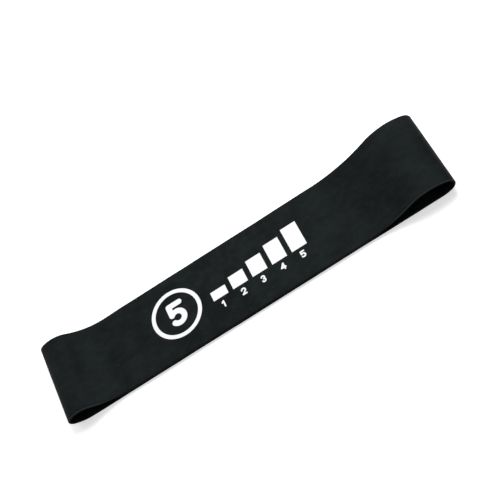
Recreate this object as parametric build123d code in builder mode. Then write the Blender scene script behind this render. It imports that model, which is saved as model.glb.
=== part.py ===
from build123d import *

import os
from math import cos, radians, sin

os.makedirs("parts", exist_ok=True)

# A seamless rubber resistance loop, laid flat in two layers, with an open rounded bend at each end.
# X runs along the laid length, Y across the band, Z up. The lower layer lies on Z = 0.

# ---- the rubber loop -----------------------------------------------------------------------------
loop_length = 508.0        # once round the middle of the rubber, which lays flat at half of this
band_width = 50.8
rubber_thickness = 1.2
layer_gap = 0.3            # air left between the two flat layers
cut_edge_radius = 0.15     # softening of the four cut edges

# Each bend rises from the lower layer, turns over at its nose, crowns, and sinks to the upper layer.
# The right bend is the taller and longer one.
right_height = 14.1        # crown above the table
right_under_radius = 17.0
right_under_angle = 24.5   # lift of the lower layer where the nose begins
right_crown_radius = 30.0
right_shoulder_angle = 22.4
right_descent_angle = 26.5

left_height = 12.3
left_under_radius = 20.6
left_under_angle = 30.0
left_crown_radius = 13.0
left_shoulder_angle = 30.0
left_descent_angle = 35.0

# ---- the printed marking -------------------------------------------------------------------------
ink_thickness = 0.05

marking_shift = 2.0        # the marking's middle, right of the middle of the upper layer's flat run

ring_radius = 15.5
ring_stroke = 2.4
ring_y = 1.0
big_figure_height = 16.0
big_figure_stroke = 3.4

block_width = 9.6
block_spacing = 3.2
block_base_y = -5.6
lowest_block_height = 6.0
block_height_step = 2.75
ring_to_blocks = 6.5
small_figure_height = 4.6
small_figure_stroke = 0.95
small_figure_gap = 2.4     # between a block and the figure below it


class Bend:
    """Radii, reach and length of one bend's middle line, made of five tangent arcs."""

    def __init__(self, height, under_radius, under_angle, crown_radius, shoulder_angle, descent_angle):
        lower_z = rubber_thickness / 2
        upper_z = lower_z + rubber_thickness + layer_gap
        crown_z = height - rubber_thickness / 2
        under = radians(under_angle)
        shoulder = radians(shoulder_angle)
        descent = radians(descent_angle)
        curved_rise = under_radius * (1 - cos(under)) + crown_radius * (1 - cos(shoulder))
        self.under_radius = under_radius
        self.crown_radius = crown_radius
        self.nose_radius = (crown_z - lower_z - curved_rise) / (cos(under) + cos(shoulder))
        self.foot_radius = (crown_z - upper_z) / (1 - cos(descent)) - crown_radius
        self.under_angle = under_angle
        self.nose_angle = 180 - under_angle - shoulder_angle
        self.crown_angle = shoulder_angle + descent_angle
        self.descent_angle = descent_angle
        # how far the nose stands out past the lift, and how far the foot lies past it
        self.reach = under_radius * sin(under) + self.nose_radius * (1 - sin(under))
        self.foot_reach = (
            under_radius * sin(under)
            + self.nose_radius * (sin(shoulder) - sin(under))
            - crown_radius * sin(shoulder)
            - (crown_radius + self.foot_radius) * sin(descent)
        )
        self.length = (
            under_radius * under
            + self.nose_radius * radians(self.nose_angle)
            + crown_radius * radians(self.crown_angle)
            + self.foot_radius * descent
        )


right_bend = Bend(
    right_height,
    right_under_radius,
    right_under_angle,
    right_crown_radius,
    right_shoulder_angle,
    right_descent_angle,
)
left_bend = Bend(
    left_height,
    left_under_radius,
    left_under_angle,
    left_crown_radius,
    left_shoulder_angle,
    left_descent_angle,
)

# What the bends leave of the loop is shared by the two straight layers.
bends_length = right_bend.length + left_bend.length
foot_reaches = right_bend.foot_reach + left_bend.foot_reach
lower_run = (loop_length - bends_length - foot_reaches) / 2
upper_run = lower_run + foot_reaches
right_lift_x = (lower_run - right_bend.reach + left_bend.reach) / 2
left_lift_x = right_lift_x - lower_run
upper_face_z = 2 * rubber_thickness + layer_gap

with BuildPart() as rubber_loop:
    with BuildSketch(Plane.XZ) as loop_profile:
        with BuildLine() as middle_line:
            lower_layer = Line((left_lift_x, rubber_thickness / 2), (right_lift_x, rubber_thickness / 2))
            right_under = JernArc(
                lower_layer @ 1, lower_layer % 1, right_bend.under_radius, right_bend.under_angle
            )
            right_nose = JernArc(
                right_under @ 1, right_under % 1, right_bend.nose_radius, right_bend.nose_angle
            )
            right_crown = JernArc(
                right_nose @ 1, right_nose % 1, right_bend.crown_radius, right_bend.crown_angle
            )
            right_foot = JernArc(
                right_crown @ 1, right_crown % 1, right_bend.foot_radius, -right_bend.descent_angle
            )
            upper_layer = Line(right_foot @ 1, right_foot @ 1 - (upper_run, 0))
            left_foot = JernArc(
                upper_layer @ 1, upper_layer % 1, left_bend.foot_radius, -left_bend.descent_angle
            )
            left_crown = JernArc(left_foot @ 1, left_foot % 1, left_bend.crown_radius, left_bend.crown_angle)
            left_nose = JernArc(left_crown @ 1, left_crown % 1, left_bend.nose_radius, left_bend.nose_angle)
            JernArc(left_nose @ 1, left_nose % 1, left_bend.under_radius, left_bend.under_angle)
        make_face()
        offset(amount=rubber_thickness / 2)
        offset(amount=-rubber_thickness, mode=Mode.SUBTRACT)
    extrude(amount=band_width / 2, both=True)
    near_edges = rubber_loop.edges().group_by(Axis.Y)[0]
    far_edges = rubber_loop.edges().group_by(Axis.Y)[-1]
    fillet(near_edges + far_edges, radius=cut_edge_radius)

rubber_loop.part.label = "rubber_loop"
export_step(rubber_loop.part, "parts/rubber_loop.step")


# ---- the marking: a ringed figure, then five ascending blocks with their figures below ------------
# Each figure is a few pen strokes, whose middle lines run from -top to top.


def figure_one(top):
    with BuildLine() as strokes:
        Polyline((-top / 2, top / 2), (0, top), (0, -top))
    return strokes.line


def figure_two(top):
    bowl = 0.6 * top
    with BuildLine() as strokes:
        crest = CenterArc((0, top - bowl), bowl, 170, -205)
        Polyline(crest @ 1, (-bowl, -top), (bowl, -top))
    return strokes.line


def figure_three(top):
    bowl = top / 2
    with BuildLine() as strokes:
        CenterArc((0, bowl), bowl, 160, -250)
        CenterArc((0, -bowl), bowl, 90, -250)
    return strokes.line


def figure_four(top):
    stem_x = 0.3 * top
    with BuildLine() as strokes:
        Polyline((0.7 * top, -0.4 * top), (-0.7 * top, -0.4 * top), (stem_x, top), (stem_x, -top))
    return strokes.line


def figure_five(top):
    bowl = 0.62 * top
    with BuildLine() as strokes:
        bowl_arc = CenterArc((0, bowl - top), bowl, 140, -280)
        Polyline(bowl_arc @ 0, ((bowl_arc @ 0).X, top), (bowl, top))
    return strokes.line


def draw(figure, height, stroke):
    """Draw a figure into the sketch in hand with a round pen as wide as the stroke."""
    strokes = figure((height - stroke) / 2)
    for edge in strokes.edges():
        trace(edge, line_width=stroke)
    with Locations(*strokes.vertices()):
        Circle(stroke / 2)


figures = [figure_one, figure_two, figure_three, figure_four, figure_five]

block_pitch = block_width + block_spacing
blocks_length = (len(figures) - 1) * block_pitch + block_width
marking_length = 2 * ring_radius + ring_to_blocks + blocks_length
upper_run_middle_x = (right_lift_x + right_bend.foot_reach + left_lift_x - left_bend.foot_reach) / 2
marking_left_x = upper_run_middle_x + marking_shift - marking_length / 2
ring_x = marking_left_x + ring_radius
first_block_x = marking_left_x + 2 * ring_radius + ring_to_blocks + block_width / 2
small_figure_y = block_base_y - small_figure_gap - small_figure_height / 2

with BuildPart() as printed_marking:
    with BuildSketch(Plane.XY.offset(upper_face_z)):
        with Locations((ring_x, ring_y)):
            Circle(ring_radius)
            Circle(ring_radius - ring_stroke, mode=Mode.SUBTRACT)
    extrude(amount=ink_thickness)
    with BuildSketch(Plane.XY.offset(upper_face_z).shift_origin((ring_x, ring_y, upper_face_z))):
        draw(figure_five, big_figure_height, big_figure_stroke)
    extrude(amount=ink_thickness)
    for level, figure in enumerate(figures):
        block_x = first_block_x + level * block_pitch
        with BuildSketch(Plane.XY.offset(upper_face_z)):
            with Locations((block_x, block_base_y)):
                Rectangle(
                    block_width,
                    lowest_block_height + level * block_height_step,
                    align=(Align.CENTER, Align.MIN),
                )
        extrude(amount=ink_thickness)
        with BuildSketch(Plane((block_x, small_figure_y, upper_face_z))):
            draw(figure, small_figure_height, small_figure_stroke)
        extrude(amount=ink_thickness)

printed_marking.part.label = "printed_marking"
export_step(printed_marking.part, "parts/printed_marking.step")
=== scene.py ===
import bpy
import numpy as np
from math import radians
from mathutils import Matrix, Vector


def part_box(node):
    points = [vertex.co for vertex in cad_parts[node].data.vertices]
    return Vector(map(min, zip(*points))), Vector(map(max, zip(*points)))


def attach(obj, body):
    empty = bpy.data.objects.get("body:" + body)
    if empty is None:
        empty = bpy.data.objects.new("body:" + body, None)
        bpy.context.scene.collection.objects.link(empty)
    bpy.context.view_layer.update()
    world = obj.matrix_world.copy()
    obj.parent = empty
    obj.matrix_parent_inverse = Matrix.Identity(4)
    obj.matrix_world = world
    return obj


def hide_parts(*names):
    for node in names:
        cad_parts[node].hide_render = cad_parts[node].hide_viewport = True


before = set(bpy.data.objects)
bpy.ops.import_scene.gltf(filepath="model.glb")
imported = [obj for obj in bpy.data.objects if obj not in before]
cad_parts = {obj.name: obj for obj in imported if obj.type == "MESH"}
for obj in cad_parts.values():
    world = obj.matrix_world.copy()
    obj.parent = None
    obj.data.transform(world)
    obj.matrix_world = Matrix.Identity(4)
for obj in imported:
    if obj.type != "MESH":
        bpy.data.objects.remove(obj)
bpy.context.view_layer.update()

# A flat rubber resistance loop lying in two layers, with an open bend at each end. Metres, +Z up,
# +X along the laid length towards the taller bend, the lower layer on Z = 0.

MM = 0.001

# ---- the rubber ----------------------------------------------------------------------------------
LOOP_LOW, LOOP_HIGH = (np.array(corner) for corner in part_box("rubber_loop"))
MARKING_LOW, MARKING_HIGH = (np.array(corner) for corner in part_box("printed_marking"))
BAND_WIDTH = LOOP_HIGH[1] - LOOP_LOW[1]
RUBBER_THICKNESS = 1.2 * MM
UPPER_FACE_Z = MARKING_LOW[2]
LAYER_RISE = UPPER_FACE_Z - RUBBER_THICKNESS    # from the lower layer's middle to the upper one's

# Each bend, given at the near edge and at the far edge of the band, because the rubber twists a
# little: height of the crown, radius and angle of the lift, radius and angle of the shoulder, and
# the angle of the descent to the upper layer.
RIGHT_BEND = {
    "height": (12.9 * MM, 15.4 * MM),
    "under_radius": (17.0 * MM, 17.0 * MM),
    "under_angle": (24.5, 24.5),
    "crown_radius": (29.9 * MM, 29.9 * MM),
    "shoulder_angle": (22.4, 22.4),
    "descent_angle": (26.0, 27.1),
}
LEFT_BEND = {
    "height": (11.6 * MM, 13.3 * MM),
    "under_radius": (20.6 * MM, 20.6 * MM),
    "under_angle": (30.3, 30.3),
    "crown_radius": (13.1 * MM, 13.1 * MM),
    "shoulder_angle": (30.3, 30.3),
    "descent_angle": (31.8, 38.5),
}
CURVE_EASE = 0.35 * MM         # length over which one curvature passes into the next
CUT_EDGE_RADIUS = 0.28 * MM    # rounding of the band's two cut edges
CUT_EDGE_WANDER = 0.12 * MM    # how far the cut wavers from a straight line
BEND_RIPPLE = 0.10 * MM        # how far the bends ripple, at their middle
SWELL_HEIGHT = 0.30 * MM       # the upper layer stands up a little between the print and the left bend
SWELL_HALF_LENGTH = 11 * MM
SWELL_CLEARANCE = 1 * MM       # left flat between the swell and the print
SWELL_X = MARKING_LOW[0] - SWELL_CLEARANCE - SWELL_HALF_LENGTH
# The waver's waves round the loop: how many, how strong, and the phase each starts at.
WAVER_WAVES = ((5, 0.5, 0.3), (11, 0.3, 1.9), (23, 0.15, 4.1), (41, 0.08, 2.6))
WAVER_SIDE_PHASE = 2.1
RIPPLE_ACROSS = 0.9            # how much the ripple's phase runs on across the width

# ---- the mesh's fineness -------------------------------------------------------------------------
RUN_COLUMNS = 44               # columns along the upper run and along each half of the lower one
BEND_COLUMNS = 150
SUBSTEPS = 4                   # steps of the integral for each column that is kept
FACE_SPANS = 26                # spans across the band's face
CORNER_SPANS = 5
EDGE_SPANS = 2

# ---- the camera ----------------------------------------------------------------------------------
LENS = 86.4
CAMERA_TARGET = Vector((9.86, 9.28, 5.0)) * MM
CAMERA_DISTANCE = 667.4 * MM
CAMERA_ELEVATION = radians(54.12)
CAMERA_AZIMUTH = radians(10.24)
CAMERA_ROLL = radians(40.70)

# ---- the light and the floor ---------------------------------------------------------------------
KEY_PLACE, KEY_WIDTH, KEY_POWER = (0.30, 0.56, 0.82), 0.6, 8.8
SIDE_PLACE, SIDE_WIDTH, SIDE_POWER = (-0.56, 0.54, 0.72), 0.6, 2.0
ROOM_FILL = 0.34               # strength of the white room, as it lights the object
FLOOR_HALF = 3.0
FLOOR_LIFT_NEAR = (0.50, 0.50, 0.50, 1)
FLOOR_LIFT_FAR = (0.8, 0.8, 0.8, 1)
FLOOR_LIFT_START, FLOOR_LIFT_END = 0.3, 0.9

# ---- colours -------------------------------------------------------------------------------------
DEEP_RUBBER = (0.0012, 0.0022, 0.0021, 1)
DUSTY_RUBBER = (0.0088, 0.0112, 0.0124, 1)
GRAIN_TIP = (0.014, 0.016, 0.016, 1)
PALE_SPECK = (0.030, 0.033, 0.033, 1)
# Paler cut rubber: partly the cut's own tone, partly a painted highlight on the cut faces.
CUT_TONE_AND_HIGHLIGHT = (0.020, 0.022, 0.022, 1)
# Painted highlight along the upper arris of the cut edges.
ARRIS_HIGHLIGHT = (0.090, 0.094, 0.094, 1)
SHEEN_TINT = (0.82, 0.98, 1.0, 1)


# ---- shader maths --------------------------------------------------------------------------------
class Field:
    """A number that varies over a surface: a node's output socket. Each operator adds a Math node."""

    def __init__(self, shader, socket):
        self.shader = shader
        self.socket = socket

    def _math(self, operation, *operands):
        inputs = dict(enumerate(operands))
        return self.shader.add("ShaderNodeMath", {"operation": operation}, inputs)

    def __add__(self, other):
        return self._math("ADD", self, other)

    __radd__ = __add__

    def __sub__(self, other):
        return self._math("SUBTRACT", self, other)

    def __mul__(self, other):
        return self._math("MULTIPLY", self, other)

    __rmul__ = __mul__

    def between(self, low, high):
        """0 below low, 1 above high, and a smooth rise from one to the other."""
        settings = {"interpolation_type": "SMOOTHSTEP"}
        inputs = {"Value": self, "From Min": low, "From Max": high}
        return self.shader.add("ShaderNodeMapRange", settings, inputs)


class Shader:
    """A node tree, with one method that makes any node."""

    def __init__(self, tree):
        self.tree = tree
        self.tree.nodes.clear()

    def add(self, kind, settings=None, inputs=None, output=0):
        """Make a node: its settings first, then the value or link of each input socket.

        Returns the asked output, or None from a node that ends the tree.
        """
        node = self.tree.nodes.new(kind)
        for setting, value in (settings or {}).items():
            setattr(node, setting, value)
        for socket, value in (inputs or {}).items():
            if isinstance(value, Field):
                self.tree.links.new(value.socket, node.inputs[socket])
            else:
                node.inputs[socket].default_value = value
        return Field(self, node.outputs[output]) if node.outputs else None

    def noise(self, place, scale, detail=2.0, roughness=0.5):
        """Noise from 0 to 1, with features about 1 / scale metres across."""
        inputs = {"Vector": place, "Scale": scale, "Detail": detail, "Roughness": roughness}
        return self.add("ShaderNodeTexNoise", {}, inputs)

    def mix(self, factor, first, second):
        """A colour between first, at factor 0, and second, at factor 1."""
        return self.add("ShaderNodeMix", {"data_type": "RGBA"}, {0: factor, 6: first, 7: second}, 2)

    def stretched(self, place, scale):
        """Coordinates scaled by a different number each way."""
        return self.add("ShaderNodeMapping", {}, {"Vector": place, "Scale": scale})


def new_material(name):
    material = bpy.data.materials.new(name)
    material.use_nodes = True
    return material, Shader(material.node_tree)


# ---- the shape of the loop -----------------------------------------------------------------------
def bend_arcs(bend, share):
    """Signed turns and radii of one bend's four arcs, with its reach and foot reach.

    Every size runs evenly from its value at the near edge, share 0, to that at the far edge, share 1.
    The nose radius is what is left of the rise after the lift and the shoulder, over the sum of their
    cosines. The foot radius is what brings the descent down to the upper layer.
    """
    size = {name: near + (far - near) * share for name, (near, far) in bend.items()}
    under = np.radians(size["under_angle"])
    shoulder = np.radians(size["shoulder_angle"])
    descent = np.radians(size["descent_angle"])
    under_radius = size["under_radius"]
    crown_radius = size["crown_radius"]
    rise = size["height"] - RUBBER_THICKNESS
    curved_rise = under_radius * (1 - np.cos(under)) + crown_radius * (1 - np.cos(shoulder))
    nose_radius = (rise - curved_rise) / (np.cos(under) + np.cos(shoulder))
    foot_radius = (rise - LAYER_RISE) / (1 - np.cos(descent)) - crown_radius
    reach = under_radius * np.sin(under) + nose_radius * (1 - np.sin(under))
    foot_reach = (
        under_radius * np.sin(under)
        + nose_radius * (np.sin(shoulder) - np.sin(under))
        - crown_radius * np.sin(shoulder)
        - (crown_radius + foot_radius) * np.sin(descent)
    )
    turns = [under, np.pi - under - shoulder, shoulder + descent, -descent]
    radii = [under_radius, nose_radius, crown_radius, foot_radius]
    return turns, radii, reach, foot_reach


def eased_ramp(s, start, end):
    """How far s is past start, at most the distance to end, with both corners eased.

    It is the difference of two softplus curves, each the eased form of a corner.
    """
    past_start = np.logaddexp(0, (s - start) / CURVE_EASE)
    past_end = np.logaddexp(0, (s - end) / CURVE_EASE)
    return CURVE_EASE * (past_start - past_end)


def smooth_step(x):
    """0 below 0, 1 above 1, and 3 x^2 - 2 x^3 between."""
    x = np.clip(x, 0, 1)
    return x * x * (3 - 2 * x)


def running_integral(values, s):
    """Trapezium-rule integral of values along s, from its first column."""
    steps = np.diff(s, axis=1) * (values[:, 1:] + values[:, :-1]) / 2
    return np.concatenate([np.zeros((len(values), 1)), np.cumsum(steps, axis=1)], axis=1)


def middle_line(share):
    """Middle line of the rubber once round the loop, for each share of the width.

    The heading is the sum of one eased ramp for each arc, as steep as the arc's curvature. The
    position is the integral of the heading's cosine and sine. What easing the corners leaves open is
    closed along the upper layer and over the two bends. Returns x, z, heading, distance and how far
    each column is up the right and the left bend, as arrays of share by column.
    """
    share = np.asarray(share)[:, None]
    right_turns, right_radii, right_reach, right_foot = bend_arcs(RIGHT_BEND, share)
    left_turns, left_radii, left_reach, left_foot = bend_arcs(LEFT_BEND, share)
    right_lift_x = LOOP_HIGH[0] - RUBBER_THICKNESS / 2 - right_reach
    left_lift_x = LOOP_LOW[0] + RUBBER_THICKNESS / 2 + left_reach
    upper_run = right_lift_x + right_foot - (left_lift_x - left_foot)
    turns = right_turns + left_turns[::-1]
    radii = right_radii + left_radii[::-1]
    lengths = [radius * abs(turn) for turn, radius in zip(turns, radii)]
    right_start = right_lift_x
    right_end = right_start + sum(lengths[:4])
    left_start = right_end + upper_run
    left_end = left_start + sum(lengths[4:])
    stations = np.concatenate(
        [np.zeros_like(share), right_start, right_end, left_start, left_end, left_end - left_lift_x],
        axis=1,
    )
    spans = np.array([RUN_COLUMNS, BEND_COLUMNS, RUN_COLUMNS, BEND_COLUMNS, RUN_COLUMNS]) * SUBSTEPS
    marks = np.concatenate([[0], np.cumsum(spans)])
    section = np.repeat(np.arange(5), spans)
    along = (np.arange(marks[-1]) - marks[section]) / spans[section]
    s = stations[:, section] + (stations[:, section + 1] - stations[:, section]) * along
    s = np.concatenate([s, stations[:, -1:]], axis=1)

    heading = np.zeros_like(s)
    starts = [right_start + sum(lengths[:k]) for k in range(4)]
    starts += [left_start + sum(lengths[4:k]) for k in range(4, 8)]
    for start, length, turn in zip(starts, lengths, turns):
        heading += turn / length * eased_ramp(s, start, start + length)
    x = running_integral(np.cos(heading), s)
    z = running_integral(np.sin(heading), s) + RUBBER_THICKNESS / 2

    up_right = smooth_step((s - right_start) / (right_end - right_start))
    up_left = smooth_step((s - left_start) / (left_end - left_start))
    across = smooth_step((s - right_end) / upper_run)
    middle_of_upper = (marks[2] + marks[3]) // 2
    upper_z = RUBBER_THICKNESS / 2 + LAYER_RISE
    z = z - (z[:, middle_of_upper, None] - upper_z) * up_right
    z = z - (z[:, -1:] - RUBBER_THICKNESS / 2) * up_left
    x = x - x[:, -1:] * across
    return x, z, heading, s, up_right, up_left


def rounded_section():
    """Places round the band's cut section: a rectangle as wide as the band, with rounded corners.

    Returns each place's distance across the band and outwards from its middle, from the near end of
    the outer face, along it, and on round the far cut, the inner face and the near cut.
    """
    half_width = BAND_WIDTH / 2 - CUT_EDGE_RADIUS
    half_thickness = RUBBER_THICKNESS / 2 - CUT_EDGE_RADIUS
    face = np.linspace(-half_width, half_width, FACE_SPANS + 1)
    cut = np.linspace(half_thickness, -half_thickness, EDGE_SPANS + 1)[1:-1]
    quarter = np.linspace(0, np.pi / 2, CORNER_SPANS + 1)[1:]
    rise = CUT_EDGE_RADIUS * np.sin(quarter)
    fall = CUT_EDGE_RADIUS * np.cos(quarter)
    lower_rise = CUT_EDGE_RADIUS * np.sin(quarter)[:-1]
    lower_fall = CUT_EDGE_RADIUS * np.cos(quarter)[:-1]
    # Half the way round: the outer face, the far cut's outer corner, the cut, and its inner corner.
    half_across = [face, half_width + rise, np.full(len(cut), BAND_WIDTH / 2), [BAND_WIDTH / 2]]
    half_across += [half_width + lower_fall]
    half_out = [np.full(len(face), RUBBER_THICKNESS / 2), half_thickness + fall, cut, [-half_thickness]]
    half_out += [-half_thickness - lower_rise]
    half_across = np.concatenate(half_across)
    half_out = np.concatenate(half_out)
    # The other half is the same, turned half a turn.
    across = np.concatenate([half_across, -half_across])
    out = np.concatenate([half_out, -half_out])
    return across, out


def waver(turn, side):
    """A slow, even wander from about -1 to 1 round the loop: a sum of sines.

    Each has a whole number of waves in one turn, so the wander meets itself. The side shifts them.
    """
    total = np.zeros(np.broadcast(turn, side).shape)
    for waves, weight, phase in WAVER_WAVES:
        total = total + weight * np.sin(2 * np.pi * waves * turn + phase + WAVER_SIDE_PHASE * side)
    return total


def loop_surface():
    """The rubber's whole skin: the rounded section carried once round the middle line.

    A place is the middle line's point, moved outwards along its normal by the section's thickness
    there, and across the band by the section's width there. The cuts waver a little, the bends
    ripple a little, and the upper layer swells between the print and the left bend. Returns the
    places, the distance round the loop and round the section, and the section itself.
    """
    across, out = rounded_section()
    share = (across + BAND_WIDTH / 2) / BAND_WIDTH
    x, z, heading, s, up_right, up_left = middle_line(share)
    columns = np.arange(0, s.shape[1] - 1, SUBSTEPS)
    x, z, heading = x[:, columns], z[:, columns], heading[:, columns]
    in_bend = up_right * (1 - up_right) + up_left * (1 - up_left)
    turn = s[:, columns] / s[:, -1:]
    ripple = BEND_RIPPLE * 4 * in_bend[:, columns] * waver(turn, RIPPLE_ACROSS * share[:, None])
    on_top = smooth_step(-np.cos(heading))
    swell = SWELL_HEIGHT * on_top * smooth_step(1 - np.abs(x - SWELL_X) / SWELL_HALF_LENGTH)
    outwards = out[:, None] + ripple + swell
    wander = CUT_EDGE_WANDER * waver(turn, np.sign(across)[:, None])
    reach_out = (across[:, None] / (BAND_WIDTH / 2)) ** 2
    y = across[:, None] + wander * reach_out
    places = np.stack([x + outwards * np.sin(heading), y, z - outwards * np.cos(heading)], axis=-1)
    closed = np.concatenate([across, across[:1]]), np.concatenate([out, out[:1]])
    round_section = np.concatenate([[0], np.cumsum(np.hypot(np.diff(closed[0]), np.diff(closed[1])))])
    return places.transpose(1, 0, 2), s[:, columns].mean(axis=0), round_section, across, out


def grid_faces(columns, rows):
    """Quads of a grid that closes on itself both ways, as place numbers and as step numbers.

    Their corners run across the rows first, so that the faces point outwards.
    """
    i, j = np.meshgrid(np.arange(columns), np.arange(rows), indexing="ij")
    steps = np.stack([i, j, i, j + 1, i + 1, j + 1, i + 1, j], axis=-1).reshape(-1, 4, 2)
    return steps[..., 0] % columns * rows + steps[..., 1] % rows, steps


def make_loop():
    places, s, round_section, across, out = loop_surface()
    columns, rows = places.shape[:2]
    faces, steps = grid_faces(columns, rows)
    mesh = bpy.data.meshes.new("rubber_loop_skin")
    mesh.from_pydata(places.reshape(-1, 3), [], faces.tolist())
    stations = np.append(s, s[-1] + s[1])
    layout = mesh.uv_layers.new(name="round_the_loop")
    corner_uv = np.stack([stations[steps[..., 0]], round_section[steps[..., 1]]], axis=-1)
    layout.data.foreach_set("uv", corner_uv.ravel())
    past_face = np.abs(across) - (BAND_WIDTH / 2 - CUT_EDGE_RADIUS)
    on_cut = mesh.attributes.new("cut_edge", "FLOAT", "POINT")
    on_cut.data.foreach_set("value", np.tile(smooth_step(past_face / CUT_EDGE_RADIUS), columns))
    # The arris mask marks the upper cut corners, where the rubber shader paints a highlight.
    on_arris = mesh.attributes.new("arris", "FLOAT", "POINT")
    arris = 1 - np.abs(2 * smooth_step(past_face / CUT_EDGE_RADIUS) - 1)
    on_arris.data.foreach_set("value", np.tile(arris * (out > 0), columns))
    mesh.polygons.foreach_set("use_smooth", np.ones(len(faces), bool))
    mesh.update()
    loop = bpy.data.objects.new("rubber_loop_band", mesh)
    bpy.context.scene.collection.objects.link(loop)
    return loop


# ---- materials -----------------------------------------------------------------------------------
def rubber_material():
    """Matte black rubber: fine moulded grain, a cloudy dusty bloom, pale specks, paler cut edges that
    are partly a painted highlight, and a painted highlight along the upper arris.

    The paler cut and the arris highlight are painted only where they stand clear of the floor; lower
    down the edges keep the plain rubber colour, which paints the shade there.
    """
    material, shader = new_material("black_rubber")
    place = shader.add("ShaderNodeTexCoord", output=3)
    along = shader.add("ShaderNodeUVMap", {"uv_map": "round_the_loop"})
    cut = shader.add("ShaderNodeAttribute", {"attribute_name": "cut_edge"}, output=2)
    arris = shader.add("ShaderNodeAttribute", {"attribute_name": "arris"}, output=2)
    # Painted shade: the paler cut and the arris highlight fade out between 8 and 3 mm above the floor.
    above_floor = shader.add("ShaderNodeSeparateXYZ", {}, {0: place}, 2)
    lit_clear_of_floor = above_floor.between(0.003, 0.008)
    cloud = shader.noise(place, 62, 3.0, 0.55)
    bloom = shader.noise(place, 240, 4.0, 0.65)
    grain = shader.noise(place, 3600, 2.0, 0.6)
    peel = shader.noise(place, 480, 2.0)
    streak = shader.noise(shader.stretched(along, (14, 900, 1)), 1, 3.0)
    dust = cloud.between(0.34, 0.68) * 0.5 + bloom.between(0.38, 0.68) * 0.43
    dust = dust + streak.between(0.4, 0.8) * 0.07
    speck = shader.noise(place, 900, 1.0).between(0.74, 0.79)
    colour = shader.mix(dust, DEEP_RUBBER, DUSTY_RUBBER)
    colour = shader.mix(grain.between(0.6, 0.85) * 0.35, colour, GRAIN_TIP)
    colour = shader.mix(speck * 0.6, colour, PALE_SPECK)
    # Paler cut faces, partly painted highlight, and the painted arris highlight, both only clear of the
    # floor.
    colour = shader.mix(cut * lit_clear_of_floor * 0.5, colour, CUT_TONE_AND_HIGHLIGHT)
    colour = shader.mix(arris * lit_clear_of_floor, colour, ARRIS_HIGHLIGHT)
    roughness = 0.49 + 0.14 * bloom + 0.06 * grain + 0.15 * cut
    height = grain * 0.6 + peel * 0.9 + cut * shader.noise(place, 1500, 3.0) * 2
    relief = shader.add("ShaderNodeBump", {}, {"Strength": 0.5, "Distance": 0.00004, "Height": height})
    inputs = {
        "Base Color": colour,
        "Roughness": roughness,
        "Normal": relief,
        "Specular IOR Level": 0.056,
        "Specular Tint": SHEEN_TINT,
    }
    surface = shader.add("ShaderNodeBsdfPrincipled", {}, inputs)
    shader.add("ShaderNodeOutputMaterial", {}, {"Surface": surface})
    return material


def ink_material():
    """White screen ink: an even matte film, with the rubber's grain showing through and a few pinholes."""
    material, shader = new_material("white_ink")
    place = shader.add("ShaderNodeTexCoord", output=3)
    film = shader.noise(place, 900, 3.0)
    grain = shader.noise(place, 3600, 2.0, 0.6)
    pinhole = shader.noise(place, 2400, 1.0).between(0.74, 0.78)
    colour = shader.mix(film.between(0.35, 0.7), (0.92, 0.925, 0.93, 1), (0.96, 0.96, 0.955, 1))
    colour = shader.mix(pinhole * 0.5, colour, (0.30, 0.31, 0.31, 1))
    height = grain * 0.5 + film * 0.8 - pinhole * 0.8
    relief = shader.add("ShaderNodeBump", {}, {"Strength": 0.4, "Distance": 0.00003, "Height": height})
    inputs = {
        "Base Color": colour,
        "Roughness": 0.52 + 0.14 * film,
        "Normal": relief,
        "Specular IOR Level": 0.35,
    }
    surface = shader.add("ShaderNodeBsdfPrincipled", {}, inputs)
    shader.add("ShaderNodeOutputMaterial", {}, {"Surface": surface})
    return material


def seen_directly(shader):
    """1 for what the camera sees, straight, in a reflection or through glass, and 0 for other light."""
    camera = shader.add("ShaderNodeLightPath")
    glossy = shader.add("ShaderNodeLightPath", output=3)
    through = shader.add("ShaderNodeLightPath", output=6)
    return (camera + glossy + through).between(0, 1)


def floor_material():
    """Pale matte paper, lifted towards white where it is looked at, with the shadow kept."""
    material, shader = new_material("pale_floor")
    place = shader.add("ShaderNodeTexCoord", output=3)
    fibre = shader.noise(place, 400, 3.0)
    colour = shader.mix(fibre, (0.90, 0.90, 0.90, 1), (0.93, 0.93, 0.93, 1))
    paper = shader.add("ShaderNodeBsdfPrincipled", {}, {"Base Color": colour, "Roughness": 0.9})
    distance = shader.add("ShaderNodeVectorMath", {"operation": "LENGTH"}, {0: place}, 1)
    farther = distance.between(FLOOR_LIFT_START, FLOOR_LIFT_END)
    lift = shader.mix(farther, FLOOR_LIFT_NEAR, FLOOR_LIFT_FAR)
    glow = shader.add("ShaderNodeEmission", {}, {"Color": lift, "Strength": 1.0})
    both = shader.add("ShaderNodeAddShader", {}, {0: paper, 1: glow})
    surface = shader.add("ShaderNodeMixShader", {}, {0: seen_directly(shader), 1: paper, 2: both})
    shader.add("ShaderNodeOutputMaterial", {}, {"Surface": surface})
    return material


# ---- the studio ----------------------------------------------------------------------------------
def make_floor():
    mesh = bpy.data.meshes.new("studio_floor")
    corners = [(x * FLOOR_HALF, y * FLOOR_HALF, 0) for x, y in ((-1, -1), (1, -1), (1, 1), (-1, 1))]
    mesh.from_pydata(corners, [], [(0, 1, 2, 3)])
    mesh.materials.append(floor_material())
    floor = bpy.data.objects.new("studio_floor", mesh)
    bpy.context.scene.collection.objects.link(floor)


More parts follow.
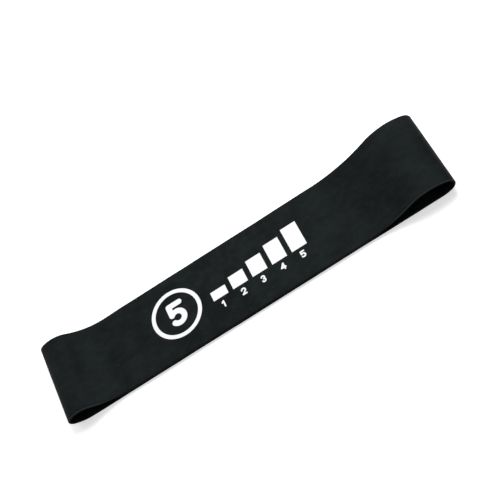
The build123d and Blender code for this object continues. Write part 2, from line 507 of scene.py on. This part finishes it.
def make_world():
    world = bpy.data.worlds.new("soft_room")
    bpy.context.scene.world = world
    world.use_nodes = True
    shader = Shader(world.node_tree)
    fill = shader.add("ShaderNodeBackground", {}, {"Color": (1, 1, 1, 1), "Strength": ROOM_FILL})
    white = shader.add("ShaderNodeBackground", {}, {"Color": (1, 1, 1, 1), "Strength": 1.0})
    surface = shader.add("ShaderNodeMixShader", {}, {0: seen_directly(shader), 1: fill, 2: white})
    shader.add("ShaderNodeOutputWorld", {}, {"Surface": surface})


def soft_box(name, place, width, power):
    """A square area lamp that looks at the middle of the object."""
    lamp = bpy.data.lights.new(name, "AREA")
    lamp.size = width
    lamp.energy = power
    box = bpy.data.objects.new(name, lamp)
    box.location = place
    box.rotation_euler = (-Vector(place)).to_track_quat("-Z", "Y").to_euler()
    bpy.context.scene.collection.objects.link(box)


def make_camera():
    """A camera that looks at its target from a distance, azimuth and elevation, and rolls to the left."""
    sin, cos = np.sin, np.cos
    back = Vector(
        (
            sin(CAMERA_AZIMUTH) * cos(CAMERA_ELEVATION),
            -cos(CAMERA_AZIMUTH) * cos(CAMERA_ELEVATION),
            sin(CAMERA_ELEVATION),
        )
    )
    level = Vector((cos(CAMERA_AZIMUTH), sin(CAMERA_AZIMUTH), 0))
    upright = back.cross(level)
    right = level * cos(CAMERA_ROLL) - upright * sin(CAMERA_ROLL)
    up = level * sin(CAMERA_ROLL) + upright * cos(CAMERA_ROLL)
    lens = bpy.data.cameras.new("product_camera")
    lens.lens = LENS
    camera = bpy.data.objects.new("product_camera", lens)
    turn = Matrix((right, up, back)).transposed().to_4x4()
    camera.matrix_world = Matrix.Translation(CAMERA_TARGET + back * CAMERA_DISTANCE) @ turn
    bpy.context.scene.collection.objects.link(camera)
    bpy.context.scene.camera = camera


# ---- the object in its scene ---------------------------------------------------------------------
make_camera()
loop = make_loop()
loop.data.materials.append(rubber_material())
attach(loop, "root")
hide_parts("rubber_loop")

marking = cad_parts["printed_marking"]
ink = ink_material()
for slot in marking.material_slots:
    slot.material = ink

make_floor()
make_world()
soft_box("key_box", KEY_PLACE, KEY_WIDTH, KEY_POWER)
soft_box("side_box", SIDE_PLACE, SIDE_WIDTH, SIDE_POWER)
bpy.context.scene.view_settings.view_transform = "Standard"
